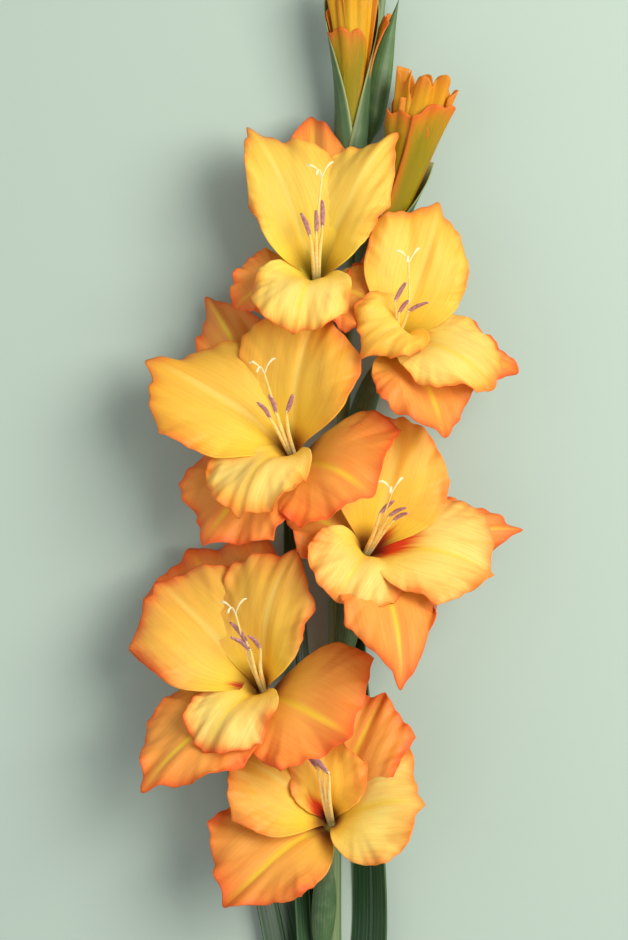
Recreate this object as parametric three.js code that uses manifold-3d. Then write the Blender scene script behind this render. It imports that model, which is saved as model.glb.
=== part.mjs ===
// A cut gladiolus spike lying on a table: six open flowers, two opening buds with closed buds above
// them, three sword leaves and the cut stem. Millimetres, +Z up. The stem runs along Y with its cut
// end towards -Y, and the open flowers face up (+Z) and a little towards the tip (+Y).
import * as THREE from 'three';
import { mergeVertices } from 'three/addons/utils/BufferGeometryUtils.js';
import Module from 'manifold-3d';

const wasm = await Module();
wasm.setup();

// ---- Driving dimensions: millimetres, and degrees where a name says angle, azimuth or lean ----

const CLEARANCE = 0.4; // air left between neighbouring pieces
const SLIVER = 0.05; // narrower strips left by a cut are merged into their neighbours
const ORIGIN = [9, -45, -0.9]; // the middle of the spike on the table, in the coordinates used below

const TEPAL_THICKNESS = 1.2;
const TEPAL_FACETS = { across: 4, along: 5 };
const TEPAL_POINT = 0.05; // extra length of the small point at the tip, as a part of the length
const TEPAL_POINT_WIDTH = 0.12; // half width of that point, as a part of the half width
const FULL_WIDTH_AT = 0.5; // where along a tepal it reaches its full width
const FOOT_ROOM = { perRadius: 1.4, growth: 100 }; // how wide a tepal may be at a distance from the axis
const TUBE_MOUTH_DEPTH = 4.4; // from the throat down to the mouth of the perianth tube

// What the tepals of one whorl share. The opening angles are measured from the flower's axis, at
// the tepal's foot, middle and tip. The claw is the width at the foot as a part of the full width,
// roundness sets how far the two upper corners fall away, and hug how far the foot wraps round.
const WHORLS = {
  inner: {
    open: [20, 50, 100], claw: 0.16, tipPower: 1.8, round: 0.38,
    hug: 1, ringRadius: 2.6, ringLift: 0,
  },
  lip: {
    open: [14, 60, 118], claw: 0.28, tipPower: 3, round: 0.3,
    hug: 1, ringRadius: 2.6, ringLift: 0,
  },
  outer: {
    open: [28, 76, 112], claw: 0.16, tipPower: 1.5, round: 0.38,
    hug: 0.45, ringRadius: 3.8, ringLift: -3.5,
  },
};

// The open flowers from the top of the spike down. Azimuth 0 points along the spike's tip side and
// 90 to +X. A pair of widths, claws or roundnesses is the side of lower azimuth, then the other.
const FLOWERS = [
  {
    throat: [1, 96, 36], leanSide: -2, leanUp: 38, footY: 48,
    tepals: [
      { name: 'inner_lip', whorl: 'lip', azimuth: -168, length: 54, width: [23, 26], open: [14, 68, 135] },
      { name: 'inner_left', whorl: 'inner', azimuth: -28, length: 86, width: [20, 33],
        open: [22, 46, 105], round: [0.45, 0.35], claw: [0.75, 0.2] },
      { name: 'inner_right', whorl: 'inner', azimuth: 35, length: 82, width: [25, 19],
        open: [22, 46, 105], round: [0.26, 0.38], claw: [0.2, 0.75] },
      { name: 'outer_right', whorl: 'outer', azimuth: 122, length: 45, width: [18, 22],
        open: [40, 88, 140], round: 0.3 },
      { name: 'outer_left', whorl: 'outer', azimuth: -112, length: 48, width: [24, 22],
        open: [30, 86, 125], round: 0.35 },
      { name: 'outer_top', whorl: 'outer', azimuth: -2, length: 94, width: [24, 26],
        open: [26, 62, 105], round: [0.5, 0.38], tipPower: 1.2 },
    ],
  },
  {
    throat: [41, 63, 34], leanSide: 20, leanUp: 34, footY: 12,
    tepals: [
      { name: 'inner_left', whorl: 'inner', azimuth: -124, length: 54, width: [18, 22],
        open: [-10, 15, 170], round: 0.25 },
      { name: 'inner_right', whorl: 'lip', azimuth: 142, length: 66, width: [24, 26],
        open: [16, 62, 100], tipPower: 2.2, claw: 0.16 },
      { name: 'inner_top', whorl: 'inner', azimuth: 20, length: 74, width: [30, 24],
        open: [18, 44, 90], round: [0.2, 0.35] },
      { name: 'outer_bottom', whorl: 'outer', azimuth: 172, length: 66, width: 26, open: [28, 84, 110] },
      { name: 'outer_right', whorl: 'outer', azimuth: 118, length: 62, width: 22, open: [28, 80, 95] },
      { name: 'outer_top', whorl: 'outer', azimuth: -8, length: 54, width: 26, open: [26, 66, 105] },
    ],
  },
  {
    throat: [-11, 7, 36], leanSide: -16, leanUp: 36, footY: -42,
    tepals: [
      { name: 'inner_lip', whorl: 'lip', azimuth: -166, length: 63, width: [24, 28] },
      { name: 'inner_right', whorl: 'inner', azimuth: 14, length: 76, width: 32,
        open: [20, 44, 75], round: 0.25, cup: [0.5, 0.1] },
      { name: 'inner_left', whorl: 'inner', azimuth: -69, length: 86, width: 34,
        open: [20, 54, 100], round: [0.25, 0.4] },
      { name: 'outer_right', whorl: 'outer', azimuth: 124, length: 60, width: [40, 34],
        open: [32, 82, 105], round: 0.25 },
      { name: 'outer_left', whorl: 'outer', azimuth: -148, length: 66, width: [30, 34],
        open: [32, 96, 125], round: 0.25 },
      { name: 'outer_top', whorl: 'outer', azimuth: -34, length: 98, width: [24, 22], open: [26, 62, 105] },
    ],
  },
  {
    throat: [26.5, -43, 34], leanSide: 18, leanUp: 32, footY: -94,
    tepals: [
      { name: 'inner_left', whorl: 'lip', azimuth: -142, length: 54, width: 26, open: [14, 60, 122] },
      { name: 'inner_right', whorl: 'lip', azimuth: 118, length: 70, width: [34, 30],
        open: [18, 62, 100], tipPower: 2.2, claw: 0.16 },
      { name: 'inner_top', whorl: 'inner', azimuth: 17, length: 74, width: 30,
        open: [20, 44, 80], round: [0.2, 0.35] },
      { name: 'outer_bottom', whorl: 'outer', azimuth: 180, length: 86, width: 25,
        open: [30, 86, 110], round: [0.5, 0.4] },
      { name: 'outer_right', whorl: 'outer', azimuth: 90, length: 77, width: [22, 20],
        open: [28, 80, 105] },
      { name: 'outer_left', whorl: 'outer', azimuth: -60, length: 50, width: [26, 24],
        open: [28, 78, 120] },
    ],
  },
  {
    throat: [-26.5, -113, 36], leanSide: -16, leanUp: 34, footY: -163,
    tepals: [
      { name: 'inner_lip', whorl: 'lip', azimuth: -160, length: 57, width: [24, 20] },
      { name: 'inner_right', whorl: 'inner', azimuth: 20, length: 78, width: [30, 22],
        open: [14, 40, 95], round: [0.2, 0.3], claw: [0.16, 0.4] },
      { name: 'inner_left', whorl: 'inner', azimuth: -52, length: 79, width: [36, 34],
        open: [20, 52, 95], round: [0.2, 0.3] },
      { name: 'outer_right', whorl: 'outer', azimuth: 120, length: 63, width: [42, 34],
        open: [32, 86, 105], round: 0.25 },
      { name: 'outer_left', whorl: 'outer', azimuth: -144, length: 80, width: [30, 28],
        open: [32, 92, 105], round: [0.4, 0.3] },
      { name: 'outer_top', whorl: 'outer', azimuth: -32, length: 86, width: [34, 38],
        open: [26, 62, 100], round: [0.15, 0.2] },
    ],
  },
  {
    throat: [8.5, -180, 34], leanSide: -8, leanUp: 32, footY: -246,
    tepals: [
      { name: 'inner_right', whorl: 'lip', azimuth: 90, length: 54, width: [44, 32],
        open: [18, 60, 110], round: 0.25 },
      { name: 'inner_left', whorl: 'inner', azimuth: -65, length: 63, width: [30, 28],
        open: [20, 54, 95], round: 0.25 },
      { name: 'inner_top', whorl: 'inner', azimuth: -4, length: 56, width: [18, 22], open: [8, 30, 60] },
      { name: 'outer_left', whorl: 'outer', azimuth: -136, length: 72, width: [26, 38],
        open: [30, 90, 110], round: [0.4, 0.3] },
      { name: 'outer_right', whorl: 'outer', azimuth: 26, length: 72, width: [22, 24],
        open: [24, 58, 85], round: 0.15 },
      { name: 'outer_top', whorl: 'outer', azimuth: -25, length: 60, width: 24, open: [24, 58, 90] },
    ],
  },
];

// Three stamens and the style stand on the flower's axis, arched a little towards its upper side.
const STAMEN = { reach: 38, rise: 3, spread: 3.6, radius: 0.7, antherLength: 12, antherRadius: 1.5 };
const STYLE = { reach: 56, rise: 11, radius: 0.7, stigmaRadius: 2 };
const COLUMN = { top: 7, radius: 1.5 }; // the filaments and style run together up to here

// The stem from its cut end to its tip.
const STEM_PATH = [
  [12, -435, 5.6], [10.5, -330, 5.6], [9.7, -265, 6], [9.7, -215, 7], [10.6, -115, 8.5], [13.2, -15, 9],
  [15.6, 35, 9], [18.2, 85, 8.5], [22, 135, 7.5], [27.8, 185, 6.5], [34, 235, 5.5], [41, 298, 5],
];
const STEM_RADIUS = { base: 5.5, tip: 2 };

const SPATHE = { length: 54, halfWidth: 8, wrapRadius: 6.5, thickness: 1.2, collar: 8, collarRadius: 5.4 };
const TUBE_RADIUS = { foot: 3.2, waist: 2.1, mouth: 3.4 };

// Sword leaves: half width, how far the blade turns about its path from foot to tip, and the path.
const LEAVES = [
  {
    name: 'leaf_left_outer', halfWidth: 11.5, turn: [-24, -8],
    path: [[3, -352, 4], [-5, -310, 3], [-18, -235, 2.6], [-31, -185, 2.4], [-45, -122, 2.2], [-57, -66, 2]],
  },
  {
    name: 'leaf_left_inner', halfWidth: 9.5, turn: [-34, -20],
    path: [
      [4, -326, 9.5], [2.5, -290, 7.5], [-1.5, -235, 6.6], [-6, -150, 5.6], [-11, -60, 5], [-15, 18, 4.4],
    ],
  },
  {
    name: 'leaf_right', halfWidth: 11, turn: [26, 62],
    path: [
      [17, -345, 6], [22, -300, 4.6], [29.5, -240, 5], [27.5, -165, 7.6], [22.5, -95, 8], [25.5, -20, 7],
      [30, 38, 5],
    ],
  },
];
const LEAF = { thickness: 1.6, wrapRadius: 40, footShare: 0.5, tipShare: 0.08 };

// Half-opened buds: from the stem through the belly to the flaring, furled mouth.
const OPENING_BUDS = [
  {
    name: 'bud_7', belly: 8.5, mouthRadius: 13,
    path: [[23, 88, 12], [29, 108, 16], [38, 132, 20], [49, 165, 26], [57, 197, 32]],
  },
  {
    name: 'bud_8', belly: 6.5, mouthRadius: 11,
    path: [[18, 132, 11], [18, 152, 15], [19.5, 184, 19], [19.5, 216, 25], [18.5, 250, 30]],
  },
];
const BUD_TUBE_RADIUS = 2.8;
const BUD_SPATHE = { length: 74, halfWidth: 9, wrapRadius: 8, thickness: 1.2 };

// Closed buds in their bracts, alternating right and left, then the tip of the spike.
const CLOSED_BUDS = [
  { name: 'bud_9', radius: 7.2, path: [[28.5, 168, 8.5], [32.5, 196, 10], [37.5, 220, 10], [44.5, 246, 9]] },
  { name: 'bud_10', radius: 4.8, path: [[30, 226, 7], [27.5, 248, 9], [28, 266, 9], [30, 284, 8]] },
  { name: 'bud_11', radius: 4.2, path: [[38.5, 260, 6], [44.5, 278, 7.5], [48.5, 294, 7], [51, 308, 6]] },
  { name: 'spike_tip', radius: 4, path: [[41.3, 299.5, 5], [43, 314, 5.4], [45.5, 330, 5], [48.5, 345, 4]] },
];
const BUD_DEPTH = { opening: 0.65, closed: 0.8 }; // depth of a bud for a width of 1

const COLOURS = {
  inner: { color: 0xf6b75a, roughness: 0.6 },
  outer: { color: 0xee8a4c, roughness: 0.6 },
  tube: { color: 0xd8c86e, roughness: 0.6 },
  bud: { color: 0xd9a92e, roughness: 0.6 },
  green: { color: 0x55703f, roughness: 0.55 },
  stem: { color: 0x7d9a55, roughness: 0.55 },
  leaf: { color: 0x2f4f38, roughness: 0.5 },
};

// ---- Helpers ----

const ACROSS = new THREE.Vector3(1, 0, 0);
const rad = THREE.MathUtils.degToRad;
const vector = ([x, y, z]) => new THREE.Vector3(x, y, z);
const pair = (value) => (Array.isArray(value) ? value : [value, value]);
const curveThrough = (points) => new THREE.CatmullRomCurve3(points.map(vector));

function displaced(geometry, place) {
  const position = geometry.attributes.position;
  const point = new THREE.Vector3();
  for (let index = 0; index < position.count; index += 1) {
    point.fromBufferAttribute(position, index);
    const moved = place(point.x, point.y, point.z);
    position.setXYZ(index, moved.x, moved.y, moved.z);
  }
  return geometry;
}

function solidOf(geometry) {
  const bare = geometry.clone();
  bare.deleteAttribute('normal');
  bare.deleteAttribute('uv');
  const merged = mergeVertices(bare, 1e-4);
  const vertProperties = new Float32Array(merged.attributes.position.array);
  const triVerts = new Uint32Array(merged.index.array);
  const solid = new wasm.Manifold(new wasm.Mesh({ numProp: 3, vertProperties, triVerts }));
  if (solid.volume() > 0) return solid;
  for (let corner = 0; corner < triVerts.length; corner += 3) {
    [triVerts[corner], triVerts[corner + 1]] = [triVerts[corner + 1], triVerts[corner]];
  }
  return new wasm.Manifold(new wasm.Mesh({ numProp: 3, vertProperties, triVerts }));
}

function geometryOf(solid) {
  const mesh = solid.getMesh();
  const geometry = new THREE.BufferGeometry();
  geometry.setAttribute('position', new THREE.BufferAttribute(new Float32Array(mesh.vertProperties), 3));
  geometry.setIndex(new THREE.BufferAttribute(new Uint32Array(mesh.triVerts), 1));
  geometry.computeVertexNormals();
  return geometry;
}

function largestPiece(solid) {
  const pieces = solid.decompose();
  const best = pieces.reduce((first, second) => (second.volume() > first.volume() ? second : first));
  pieces.filter((piece) => piece !== best).forEach((piece) => piece.delete());
  return best;
}

// Cuts a tool away from a solid; the memory of the uncut solid is given back.
function cutAway(solid, tool) {
  const rest = solid.subtract(tool);
  solid.delete();
  return rest;
}

// A copy that no longer remembers the solids it was cut with. Without it each later cut would carry
// all the earlier ones along, and fill the memory.
function bareCopy(solid) {
  const { vertProperties, triVerts } = solid.getMesh();
  return new wasm.Manifold(new wasm.Mesh({ numProp: 3, vertProperties, triVerts }));
}

// Splits the squares of a box's -z face along the same diagonals as those of its +z face, so that
// the two faces stay parallel when the box is thin and warped.
function matchDiagonals(box) {
  const { start, count } = box.groups[5];
  for (let corner = start; corner < start + count; corner += 6) {
    const [a, b, d, , c] = box.index.array.slice(corner, corner + 6);
    box.index.array.set([a, b, c, a, c, d], corner);
  }
  return box;
}

// A plate that follows surface(across, along), with across from -1 to 1 and along from 0 to 1.
function plate(surface, { thickness, facets, margin }) {
  const box = matchDiagonals(new THREE.BoxGeometry(2, 1, 1, facets.across, facets.along, 1));
  box.translate(0, 0.5, 0);
  const step = 1e-3;
  return displaced(box, (x, y, z) => {
    const across = x * (1 + margin.across);
    const along = y * (1 + margin.along);
    const point = surface(across, along);
    const sideways = surface(across + step, along).sub(surface(across - step, along));
    const onwards = surface(across, along + step).sub(surface(across, Math.max(along - step, 0)));
    const normal = sideways.cross(onwards).normalize();
    return point.addScaledVector(normal, z * thickness);
  });
}

// A round rod along a curve. radiusAt(t) gives its radius and flatAt(t) its depth for a width of 1.
function rod(curve, radiusAt, { sides, steps, reference, flatAt = () => 1, grow = 0 }) {
  const cylinder = new THREE.CylinderGeometry(1, 1, 1, sides, steps);
  const beyond = (t) => {
    if (t === 0) return -grow;
    return t === 1 ? grow : 0;
  };
  return displaced(cylinder, (x, y, z) => {
    const t = THREE.MathUtils.clamp(y + 0.5, 0, 1);
    const tangent = curve.getTangentAt(t);
    const side = reference.clone().addScaledVector(tangent, -reference.dot(tangent)).normalize();
    const other = new THREE.Vector3().crossVectors(tangent, side);
    const radius = radiusAt(t) + grow;
    return curve.getPointAt(t)
      .addScaledVector(tangent, beyond(t))
      .addScaledVector(side, x * radius)
      .addScaledVector(other, z * radius * flatAt(t));
  });
}

// A blade along a curve whose cross-section wraps round an arc. face turns about the curve.
function blade(curve, { halfWidthAt, wrapRadius, turnAt, thickness, facets, grow = 0 }) {
  const surface = (across, along) => {
    const t = THREE.MathUtils.clamp(along, 0, 1);
    const tangent = curve.getTangentAt(t);
    const right = new THREE.Vector3(0, 0, 1).cross(tangent).negate().normalize();
    const up = new THREE.Vector3().crossVectors(right, tangent).normalize();
    const turn = turnAt(t);
    const width = right.clone().multiplyScalar(Math.cos(turn)).addScaledVector(up, Math.sin(turn));
    const depth = up.clone().multiplyScalar(Math.cos(turn)).addScaledVector(right, -Math.sin(turn));
    const angle = across * (halfWidthAt(t) + grow) / wrapRadius;
    return curve.getPointAt(t)
      .addScaledVector(tangent, (along - t) * curve.getLength())
      .addScaledVector(width, wrapRadius * Math.sin(angle))
      .addScaledVector(depth, wrapRadius * (1 - Math.cos(angle)));
  };
  const margin = { across: 0, along: 0 };
  return plate(surface, { thickness: thickness + 2 * grow, facets, margin });
}

// ---- The parts of an open flower ----

function flowerFrame(flower) {
  const axis = new THREE.Vector3(Math.tan(rad(flower.leanSide)), Math.tan(rad(flower.leanUp)), 1).normalize();
  const up = new THREE.Vector3(0, 1, 0).addScaledVector(axis, -axis.y).normalize();
  const right = new THREE.Vector3().crossVectors(up, axis);
  return { throat: vector(flower.throat), axis, up, right };
}

// Radius, height and opening angle along a tepal's midrib; the angle follows a quadratic curve.
function midribProfile(tepal) {
  const steps = 46;
  const reach = 1.15;
  const [foot, middle, tip] = tepal.open.map(rad);
  const angleAt = (t) => (1 - t) ** 2 * foot + 2 * t * (1 - t) * middle + t ** 2 * tip;
  const stations = [{ radius: tepal.ringRadius, height: tepal.ringLift }];
  for (let index = 0; index < steps; index += 1) {
    const angle = angleAt((index + 0.5) * reach / steps);
    const stride = tepal.length * reach / steps;
    const last = stations[index];
    stations.push({
      radius: last.radius + stride * Math.sin(angle),
      height: last.height + stride * Math.cos(angle),
    });
  }
  return (t) => {
    const place = THREE.MathUtils.clamp(t / reach * steps, 0, steps - 1e-6);
    const index = Math.floor(place);
    const blend = place - index;
    return {
      angle: angleAt(t),
      radius: THREE.MathUtils.lerp(stations[index].radius, stations[index + 1].radius, blend),
      height: THREE.MathUtils.lerp(stations[index].height, stations[index + 1].height, blend),
    };
  };
}

function tepalSurface(flower, settings) {
  const tepal = { cup: 0, ...WHORLS[settings.whorl], ...settings };
  const frame = flowerFrame(flower);
  const profile = midribProfile(tepal);
  const widths = pair(tepal.width);
  const rounds = pair(tepal.round);
  const cups = pair(tepal.cup);
  const claws = pair(tepal.claw);
  const azimuth = rad(tepal.azimuth);
  const outward = frame.up.clone().multiplyScalar(Math.cos(azimuth))
    .addScaledVector(frame.right, Math.sin(azimuth));
  const tangent = frame.up.clone().multiplyScalar(-Math.sin(azimuth))
    .addScaledVector(frame.right, Math.cos(azimuth));
  return (across, along) => {
    const side = across < 0 ? 0 : 1;
    const growth = Math.sin(Math.PI / 2 * Math.min(along / FULL_WIDTH_AT, 1) ** 0.9);
    const spread = widths[side] * (claws[side] + (1 - claws[side]) * growth);
    const room = FOOT_ROOM.perRadius * profile(along).radius + FOOT_ROOM.growth * along ** 2;
    const lateral = across * spread * room / (spread ** 4 + room ** 4) ** 0.25;
    const fallAway = rounds[side] * Math.abs(across) ** tepal.tipPower * along ** 1.5;
    const point = TEPAL_POINT * along ** 4 * Math.exp(-((across / TEPAL_POINT_WIDTH) ** 2));
    const t = along * (1 - fallAway) + point;
    const { angle, radius, height } = profile(t);
    const wrap = tepal.hug * Math.max(Math.cos(angle), 0) / radius * Math.max(1 - t, 0) ** 2;
    const bend = Math.max(wrap + cups[side] / widths[side] * t ** 2, 1e-5);
    const inward = (1 - Math.cos(lateral * bend)) / bend;
    return frame.throat.clone()
      .addScaledVector(outward, radius - inward * Math.cos(angle))
      .addScaledVector(frame.axis, height + inward * Math.sin(angle))
      .addScaledVector(tangent, Math.sin(lateral * bend) / bend);
  };
}

function tepalSolid(flower, tepal, grow) {
  const width = Math.min(...pair(tepal.width));
  return solidOf(plate(tepalSurface(flower, tepal), {
    thickness: TEPAL_THICKNESS + 2 * grow,
    facets: TEPAL_FACETS,
    margin: { across: grow / width, along: grow / tepal.length },
  }));
}

function stemRadiusAt(t) {
  return THREE.MathUtils.lerp(STEM_RADIUS.base, STEM_RADIUS.tip, t);
}

const stemCurve = curveThrough(STEM_PATH);

// The stem's centre and radius at a height along the spike.
function stemAt(y) {
  const first = STEM_PATH[0][1];
  const last = STEM_PATH[STEM_PATH.length - 1][1];
  let low = 0;
  let high = 1;
  for (let pass = 0; pass < 30; pass += 1) {
    const middle = (low + high) / 2;
    if (stemCurve.getPointAt(middle).y < y) low = middle;
    else high = middle;
  }
  return { centre: stemCurve.getPointAt(low), radius: stemRadiusAt((y - first) / (last - first)) };
}

// The perianth tube leaves the stem along it, and bends up into the flower's axis.
function tubeCurve(flower) {
  const frame = flowerFrame(flower);
  const { centre, radius } = stemAt(flower.footY);
  const mouth = frame.throat.clone().addScaledVector(frame.axis, -TUBE_MOUTH_DEPTH);
  const sideways = Math.sign(mouth.x - centre.x) * 0.75;
  const away = new THREE.Vector3(sideways, 0, 0.66).normalize();
  const foot = centre.clone().addScaledVector(away, radius + TUBE_RADIUS.foot * 0.8);
  const leave = foot.clone().add(new THREE.Vector3(sideways * 4, 20, 3));
  const arrive = mouth.clone().addScaledVector(frame.axis, -17);
  return new THREE.CubicBezierCurve3(foot, leave, arrive, mouth);
}

function tubeRadiusAt(t) {
  const swell = TUBE_RADIUS.foot * Math.exp(-((t / 0.16) ** 2));
  const flare = (TUBE_RADIUS.mouth - TUBE_RADIUS.waist) * t ** 5;
  return Math.max(swell, TUBE_RADIUS.waist) + flare;
}

// Tube, three stamens and the style with its stigma, grown together as one piece.
function tubeSolid(flower, grow) {
  const frame = flowerFrame(flower);
  const inFlower = (reach, rise, aside) => frame.throat.clone()
    .addScaledVector(frame.axis, reach)
    .addScaledVector(frame.up, rise)
    .addScaledVector(frame.right, aside);
  const thin = { sides: 4, steps: 1, reference: frame.right, grow };
  const bore = { sides: 7, steps: 6, reference: frame.right, grow };
  let solid = solidOf(rod(tubeCurve(flower), tubeRadiusAt, bore));
  const join = (geometry) => {
    solid = solid.add(solidOf(geometry));
  };
  const column = new THREE.LineCurve3(inFlower(-TUBE_MOUTH_DEPTH - 2, 0, 0), inFlower(COLUMN.top, 0, 0));
  join(rod(column, () => COLUMN.radius, { ...thin, sides: 6 }));
  const antherShare = STAMEN.antherLength / (STAMEN.reach + STAMEN.antherLength - COLUMN.top);
  const stamenRadiusAt = (t) => (t > 1 - antherShare && t < 1 ? STAMEN.antherRadius : STAMEN.radius);
  for (const aside of [-1, 0, 1]) {
    const start = inFlower(COLUMN.top - 2, 0, aside * 0.5);
    const anther = inFlower(STAMEN.reach, STAMEN.rise + 1.2 * Math.abs(aside), aside * STAMEN.spread);
    const end = inFlower(STAMEN.reach + STAMEN.antherLength, STAMEN.rise + 4, aside * STAMEN.spread * 1.4);
    join(rod(new THREE.QuadraticBezierCurve3(start, anther, end), stamenRadiusAt, { ...thin, steps: 4 }));
  }
  const style = new THREE.QuadraticBezierCurve3(
    inFlower(COLUMN.top - 2, 0.4, 0),
    inFlower(STYLE.reach * 0.6, 1.5, 0),
    inFlower(STYLE.reach, STYLE.rise, 0));
  join(rod(style, (t) => (t > 0.99 ? STYLE.stigmaRadius : STYLE.radius), { ...thin, steps: 4 }));
  return solid;
}

// Two bract valves round the foot of the tube, joined by their collar on the stem.
function spatheSolid(curve, size, grow) {
  const length = size.length;
  const first = curve.getPointAt(0);
  const along = new THREE.Vector3(curve.getPointAt(0.5).x - first.x, curve.getPointAt(0.5).y - first.y, 0);
  const lift = (curve.getPointAt(0.5).z - first.z) / along.length();
  along.normalize();
  const end = first.clone().addScaledVector(along, length).add(new THREE.Vector3(0, 0, lift * length * 0.6));
  const middle = first.clone().lerp(end, 0.5).add(new THREE.Vector3(0, 0, 1));
  const reference = new THREE.Vector3(0, 0, 1);
  const valveCurve = (drop) => new THREE.QuadraticBezierCurve3(
    first.clone().add(new THREE.Vector3(0, 0, drop * 0.6)),
    middle.clone().add(new THREE.Vector3(0, 0, drop * 1.6)),
    end.clone().add(new THREE.Vector3(0, 0, drop)));
  const halfWidthAt = (t) => size.halfWidth * (0.55 + 0.45 * Math.sin(Math.PI * Math.min(t * 1.4, 1)))
    * Math.max(1 - t ** 5, 0.12);
  const valve = (drop, turn) => solidOf(blade(valveCurve(drop), {
    halfWidthAt, wrapRadius: size.wrapRadius, turnAt: () => turn, thickness: size.thickness,
    facets: { across: 3, along: 4 }, grow,
  }));
  const collarEnd = first.clone().lerp(middle, 2 * SPATHE.collar / length);
  const collar = solidOf(rod(new THREE.LineCurve3(first, collarEnd), () => SPATHE.collarRadius,
    { sides: 6, steps: 1, reference, grow }));
  return valve(-5, 0).add(valve(5, Math.PI)).add(collar);
}

// ---- Stem, leaves and buds ----

function stemSolid(grow) {
  return solidOf(rod(stemCurve, stemRadiusAt, { sides: 8, steps: 16, reference: ACROSS, grow }));
}

function leafSolid(leaf, grow) {
  const [turnFoot, turnTip] = leaf.turn.map(rad);
  return solidOf(blade(curveThrough(leaf.path), {
    halfWidthAt: (t) => leaf.halfWidth * Math.max(1 - t ** 3, LEAF.tipShare)
      * (LEAF.footShare + (1 - LEAF.footShare) * Math.sin(Math.PI / 2 * Math.min(t * 4, 1))),
    wrapRadius: LEAF.wrapRadius,
    turnAt: (t) => THREE.MathUtils.lerp(turnFoot, turnTip, t),
    thickness: LEAF.thickness,
    facets: { across: 2, along: 12 },
    grow,
  }));
}

function openingBudSolid(bud, grow) {
  const radiusAt = (t) => {
    const swell = bud.belly * Math.sin(Math.PI * Math.min(t, 0.5)) ** 2;
    const flare = (bud.mouthRadius - bud.belly) * THREE.MathUtils.smoothstep(t, 0.55, 1);
    return Math.max(BUD_TUBE_RADIUS, swell) + flare;
  };
  return solidOf(rod(curveThrough(bud.path), radiusAt, {
    sides: 8, steps: 8, reference: ACROSS, flatAt: (t) => 1 - (1 - BUD_DEPTH.opening) * t, grow,
  }));
}

function closedBudSolid(bud, grow) {
  const radiusAt = (t) => bud.radius * (0.35 + 0.65 * Math.sin(Math.PI * t ** 0.8))
    * Math.max(1 - t ** 4, 0.15) * (0.3 + 0.7 * THREE.MathUtils.smoothstep(t, 0, 0.2));
  return solidOf(rod(curveThrough(bud.path), radiusAt, {
    sides: 7, steps: 5, reference: ACROSS, flatAt: () => BUD_DEPTH.closed, grow,
  }));
}

// ---- Assembly: each new piece is trimmed back from the pieces already in place ----

const spike = new THREE.Group();
const placed = [];

function boxOf(solid) {
  const { min, max } = solid.boundingBox();
  return new THREE.Box3(vector(min), vector(max));
}

function place(name, colour, build) {
  let solid = build(0);
  const box = boxOf(solid);
  for (const other of placed.filter((candidate) => candidate.box.intersectsBox(box))) {
    solid = cutAway(cutAway(solid, other.fat), other.piece);
  }
  const piece = largestPiece(bareCopy(solid.simplify(SLIVER)));
  solid.delete();
  const fat = build(CLEARANCE);
  placed.push({ fat, piece, box: boxOf(fat) });
  const material = new THREE.MeshStandardMaterial({ metalness: 0, ...COLOURS[colour] });
  const mesh = new THREE.Mesh(geometryOf(piece), material);
  mesh.name = name;
  spike.add(mesh);
}

place('stem', 'stem', stemSolid);
FLOWERS.forEach((flower, index) => {
  place(`flower_${index + 1}_tube`, 'tube', (grow) => tubeSolid(flower, grow));
});
FLOWERS.forEach((flower, index) => {
  for (const tepal of flower.tepals) {
    const colour = tepal.name.startsWith('outer') ? 'outer' : 'inner';
    place(`flower_${index + 1}_${tepal.name}`, colour, (grow) => tepalSolid(flower, tepal, grow));
  }
});
for (const bud of OPENING_BUDS) {
  place(bud.name, 'bud', (grow) => openingBudSolid(bud, grow));
}
for (const bud of CLOSED_BUDS) {
  place(bud.name, 'green', (grow) => closedBudSolid(bud, grow));
}
for (const leaf of LEAVES) {
  place(leaf.name, 'leaf', (grow) => leafSolid(leaf, grow));
}
FLOWERS.forEach((flower, index) => {
  place(`flower_${index + 1}_spathe`, 'green', (grow) => spatheSolid(tubeCurve(flower), SPATHE, grow));
});
for (const bud of OPENING_BUDS) {
  place(`${bud.name}_spathe`, 'green', (grow) => spatheSolid(curveThrough(bud.path), BUD_SPATHE, grow));
}

spike.position.set(...ORIGIN).negate();

export default spike;
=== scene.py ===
import math

import bmesh
import bpy
import numpy as np
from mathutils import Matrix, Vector


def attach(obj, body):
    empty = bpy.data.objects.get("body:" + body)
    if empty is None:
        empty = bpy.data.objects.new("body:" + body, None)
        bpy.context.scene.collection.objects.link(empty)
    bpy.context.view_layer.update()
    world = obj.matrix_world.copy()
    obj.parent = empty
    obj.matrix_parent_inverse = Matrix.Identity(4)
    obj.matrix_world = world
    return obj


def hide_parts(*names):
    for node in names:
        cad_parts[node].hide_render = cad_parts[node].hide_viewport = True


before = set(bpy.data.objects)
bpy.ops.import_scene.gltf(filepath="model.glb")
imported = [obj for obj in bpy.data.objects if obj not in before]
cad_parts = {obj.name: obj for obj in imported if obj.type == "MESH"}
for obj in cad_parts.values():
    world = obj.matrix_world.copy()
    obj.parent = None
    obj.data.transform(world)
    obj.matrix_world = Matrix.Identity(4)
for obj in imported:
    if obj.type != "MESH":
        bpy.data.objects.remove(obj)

# Lengths in the tables below are in millimetres from the spike's own middle line; ORIGIN is where the
# frame's origin lies in them, and MM turns them into the frame's metres.
MM = 0.001
ORIGIN = np.array([9.0, -45.0, -0.9])
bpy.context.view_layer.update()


# ---------------------------------------------------------------- camera and light

VIEW_HEIGHT = 1360.0      # the eye above the table
VIEW_FIELD = 470.0        # height of the field that the camera sees, VIEW_LEVEL above the table
VIEW_LEVEL = 60.0
SENSOR = 36.0


def to_frame(points):
    return (np.asarray(points, float) - ORIGIN) * MM


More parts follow.
